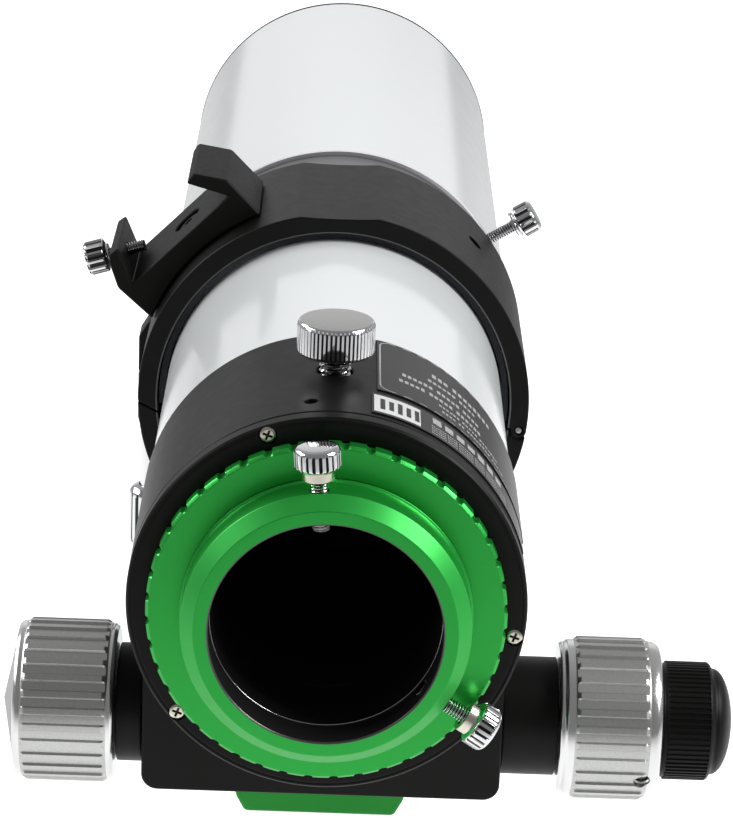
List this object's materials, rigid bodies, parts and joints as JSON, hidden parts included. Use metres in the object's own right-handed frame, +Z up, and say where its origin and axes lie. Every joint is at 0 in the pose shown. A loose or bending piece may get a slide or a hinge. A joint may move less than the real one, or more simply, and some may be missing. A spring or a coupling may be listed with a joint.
{
  "type": "refracting finder scope",
  "caption": "Refracting finder scope with a sliding dew shield, geared drawtube focuser with coarse and fine knobs, hinged tube ring and dovetail bar.",
  "frame": {"origin": "centre of the dovetail bar's bottom face, under the middle of the tube ring", "axes": "+Y along the optical axis towards the objective, +Z up, +X to the side of the fine focus knob"},
  "size_m": [0.1702, 0.4116, 0.1417],
  "materials": {
    "white_paint": "gloss white powder coat",
    "black_anodised": "satin black anodised",
    "green_anodised": "green anodised",
    "silver_aluminium": "bead-blasted clear anodised",
    "chrome": "polished plating",
    "steel": "machined",
    "matt_black": "flat black paint",
    "felt": "dark felt",
    "lens_glass": "coated optical glass",
    "brass": "machined",
    "label_film": "blank dark label",
    "nylon": "plain"
  },
  "bodies": {
    "base": {"dovetail_bar": "green_anodised", "dovetail_bolt_rear": "steel", "dovetail_bolt_front": "steel", "ring_lower": "black_anodised", "ring_hinge_pin": "steel", "ring_felt_lower": "felt"},
    "ring_cover": {"ring_upper": "black_anodised", "ring_felt_upper": "felt", "finder_shoe": "black_anodised", "finder_shoe_bolt": "steel"},
    "optical_tube": {"main_tube": "white_paint", "objective_cell": "black_anodised", "front_lens": "lens_glass", "rear_lens": "lens_glass", "lens_spacer": "matt_black", "lens_retaining_ring": "matt_black", "baffle_front": "matt_black", "baffle_rear": "matt_black", "focuser_housing": "black_anodised", "guide_ring_rear": "nylon", "guide_ring_front": "nylon", "focuser_rear_plate": "black_anodised", "plate_screw_1": "steel", "plate_screw_2": "steel", "plate_screw_3": "steel", "data_plate": "label_film", "notice_plate": "label_film", "left_hub": "black_anodised", "right_hub": "black_anodised", "left_bearing": "brass", "right_bearing": "brass"},
    "dew_shield_slide": {"dew_shield": "white_paint", "dew_shield_rim": "black_anodised", "dew_shield_felt": "felt"},
    "drawtube_slide": {"drawtube": "black_anodised", "rack": "steel"},
    "pinion_axle": {"pinion_shaft": "steel", "left_knob": "silver_aluminium", "left_knob_cap": "silver_aluminium", "right_knob": "silver_aluminium", "right_knob_set_screw": "steel"},
    "fine_focus": {"fine_knob": "black_anodised", "fine_shaft": "steel"},
    "rotator": {"rotator_ring": "green_anodised", "eyepiece_adapter": "green_anodised"},
    "focus_lock_stud_body": {"focus_lock_stud": "chrome"},
    "focus_lock_knob_body": {"focus_lock_knob": "chrome"},
    "adapter_screw_top_stud_body": {"adapter_screw_top_stud": "chrome"},
    "adapter_screw_top_knob_body": {"adapter_screw_top_knob": "chrome"},
    "adapter_screw_side_stud_body": {"adapter_screw_side_stud": "chrome"},
    "adapter_screw_side_knob_body": {"adapter_screw_side_knob": "chrome"},
    "dew_lock_stud_body": {"dew_lock_stud": "chrome"},
    "dew_lock_knob_body": {"dew_lock_knob": "chrome"},
    "ring_clamp_stud_body": {"ring_clamp_stud": "chrome"},
    "ring_clamp_knob_body": {"ring_clamp_knob": "chrome"},
    "shoe_screw_stud_body": {"shoe_screw_stud": "chrome"},
    "shoe_screw_knob_body": {"shoe_screw_knob": "chrome"}
  },
  "joints": [
    {"name": "ring_cover_hinge", "type": "hinge", "parent": "base", "child": "ring_cover", "pos_m": [0.04863, 0, 0.07843], "axis": [0, 1, 0], "range_deg": [0, 75]},
    {"name": "tube_slide", "type": "slide", "parent": "base", "child": "optical_tube", "axis": [0, 1, 0], "range_m": [0, 0.07]},
    {"name": "dew_shield_travel", "type": "slide", "parent": "optical_tube", "child": "dew_shield_slide", "axis": [0, 1, 0], "range_m": [0, 0.07]},
    {"name": "focus_travel", "type": "slide", "parent": "optical_tube", "child": "drawtube_slide", "axis": [0, -1, 0], "range_m": [0, 0.06]},
    {"name": "pinion_turn", "type": "hinge", "parent": "optical_tube", "child": "pinion_axle", "pos_m": [0, -0.1285, 0.0449], "axis": [1, 0, 0], "range_deg": [0, 614]},
    {"name": "fine_turn", "type": "hinge", "parent": "optical_tube", "child": "fine_focus", "pos_m": [0, -0.1285, 0.0449], "axis": [1, 0, 0], "range_deg": [0, 6140]},
    {"name": "rotator_turn", "type": "hinge", "parent": "drawtube_slide", "child": "rotator", "pos_m": [0, -0.163, 0.0844], "axis": [0, 1, 0], "continuous": true},
    {"name": "focus_lock_travel", "type": "slide", "parent": "optical_tube", "child": "focus_lock_stud_body", "axis": [0, 0, 1], "range_m": [0, 0.00375]},
    {"name": "focus_lock_turn", "type": "hinge", "parent": "focus_lock_stud_body", "child": "focus_lock_knob_body", "pos_m": [0, -0.1287, 0.1344], "axis": [0, 0, 1], "range_deg": [0, 1081]},
    {"name": "adapter_screw_top_travel", "type": "slide", "parent": "rotator", "child": "adapter_screw_top_stud_body", "axis": [-0.0785, 0, 0.9969], "range_m": [-0.00229, 0.0035]},
    {"name": "adapter_screw_top_turn", "type": "hinge", "parent": "adapter_screw_top_stud_body", "child": "adapter_screw_top_knob_body", "pos_m": [-0.00314, -0.171, 0.12428], "axis": [-0.0785, 0, 0.9969], "range_deg": [-1181, 1801]},
    {"name": "adapter_screw_side_travel", "type": "slide", "parent": "rotator", "child": "adapter_screw_side_stud_body", "axis": [0.8387, 0, -0.5446], "range_m": [-0.00229, 0.0035]},
    {"name": "adapter_screw_side_turn", "type": "hinge", "parent": "adapter_screw_side_stud_body", "child": "adapter_screw_side_knob_body", "pos_m": [0.03355, -0.171, 0.06261], "axis": [0.8387, 0, -0.5446], "range_deg": [-1181, 1801]},
    {"name": "dew_lock_travel", "type": "slide", "parent": "dew_shield_slide", "child": "dew_lock_stud_body", "axis": [0.848, 0, 0.5299], "range_m": [0, 0.00399]},
    {"name": "dew_lock_turn", "type": "hinge", "parent": "dew_lock_stud_body", "child": "dew_lock_knob_body", "pos_m": [0.05088, 0.0405, 0.1162], "axis": [0.848, 0, 0.5299], "range_deg": [0, 2051]},
    {"name": "ring_clamp_travel", "type": "slide", "parent": "base", "child": "ring_clamp_stud_body", "axis": [0, 0, -1], "range_m": [0, 0.008]},
    {"name": "ring_clamp_turn", "type": "hinge", "parent": "ring_clamp_stud_body", "child": "ring_clamp_knob_body", "pos_m": [-0.0492, 0, 0.0444], "axis": [0, 0, -1], "range_deg": [0, 3601]},
    {"name": "shoe_screw_travel", "type": "slide", "parent": "ring_cover", "child": "shoe_screw_stud_body", "axis": [-0.9588, 0, -0.284], "range_m": [-0.0007, 0.0049]},
    {"name": "shoe_screw_turn", "type": "hinge", "parent": "shoe_screw_stud_body", "child": "shoe_screw_knob_body", "pos_m": [-0.05127, 0, 0.11742], "axis": [-0.9588, 0, -0.284], "range_deg": [-361, 2521]}
  ],
  "couplings": [
    {"joint": "pinion_turn", "follows": "focus_travel", "rad_per_m": 178.57},
    {"joint": "fine_turn", "follows": "focus_travel", "rad_per_m": 1785.7},
    {"joint": "focus_lock_turn", "follows": "focus_lock_travel", "rad_per_m": 5026.5},
    {"joint": "adapter_screw_top_turn", "follows": "adapter_screw_top_travel", "rad_per_m": 8976},
    {"joint": "adapter_screw_side_turn", "follows": "adapter_screw_side_travel", "rad_per_m": 8976},
    {"joint": "dew_lock_turn", "follows": "dew_lock_travel", "rad_per_m": 8976},
    {"joint": "ring_clamp_turn", "follows": "ring_clamp_travel", "rad_per_m": 7854},
    {"joint": "shoe_screw_turn", "follows": "shoe_screw_travel", "rad_per_m": 8976}
  ]
}
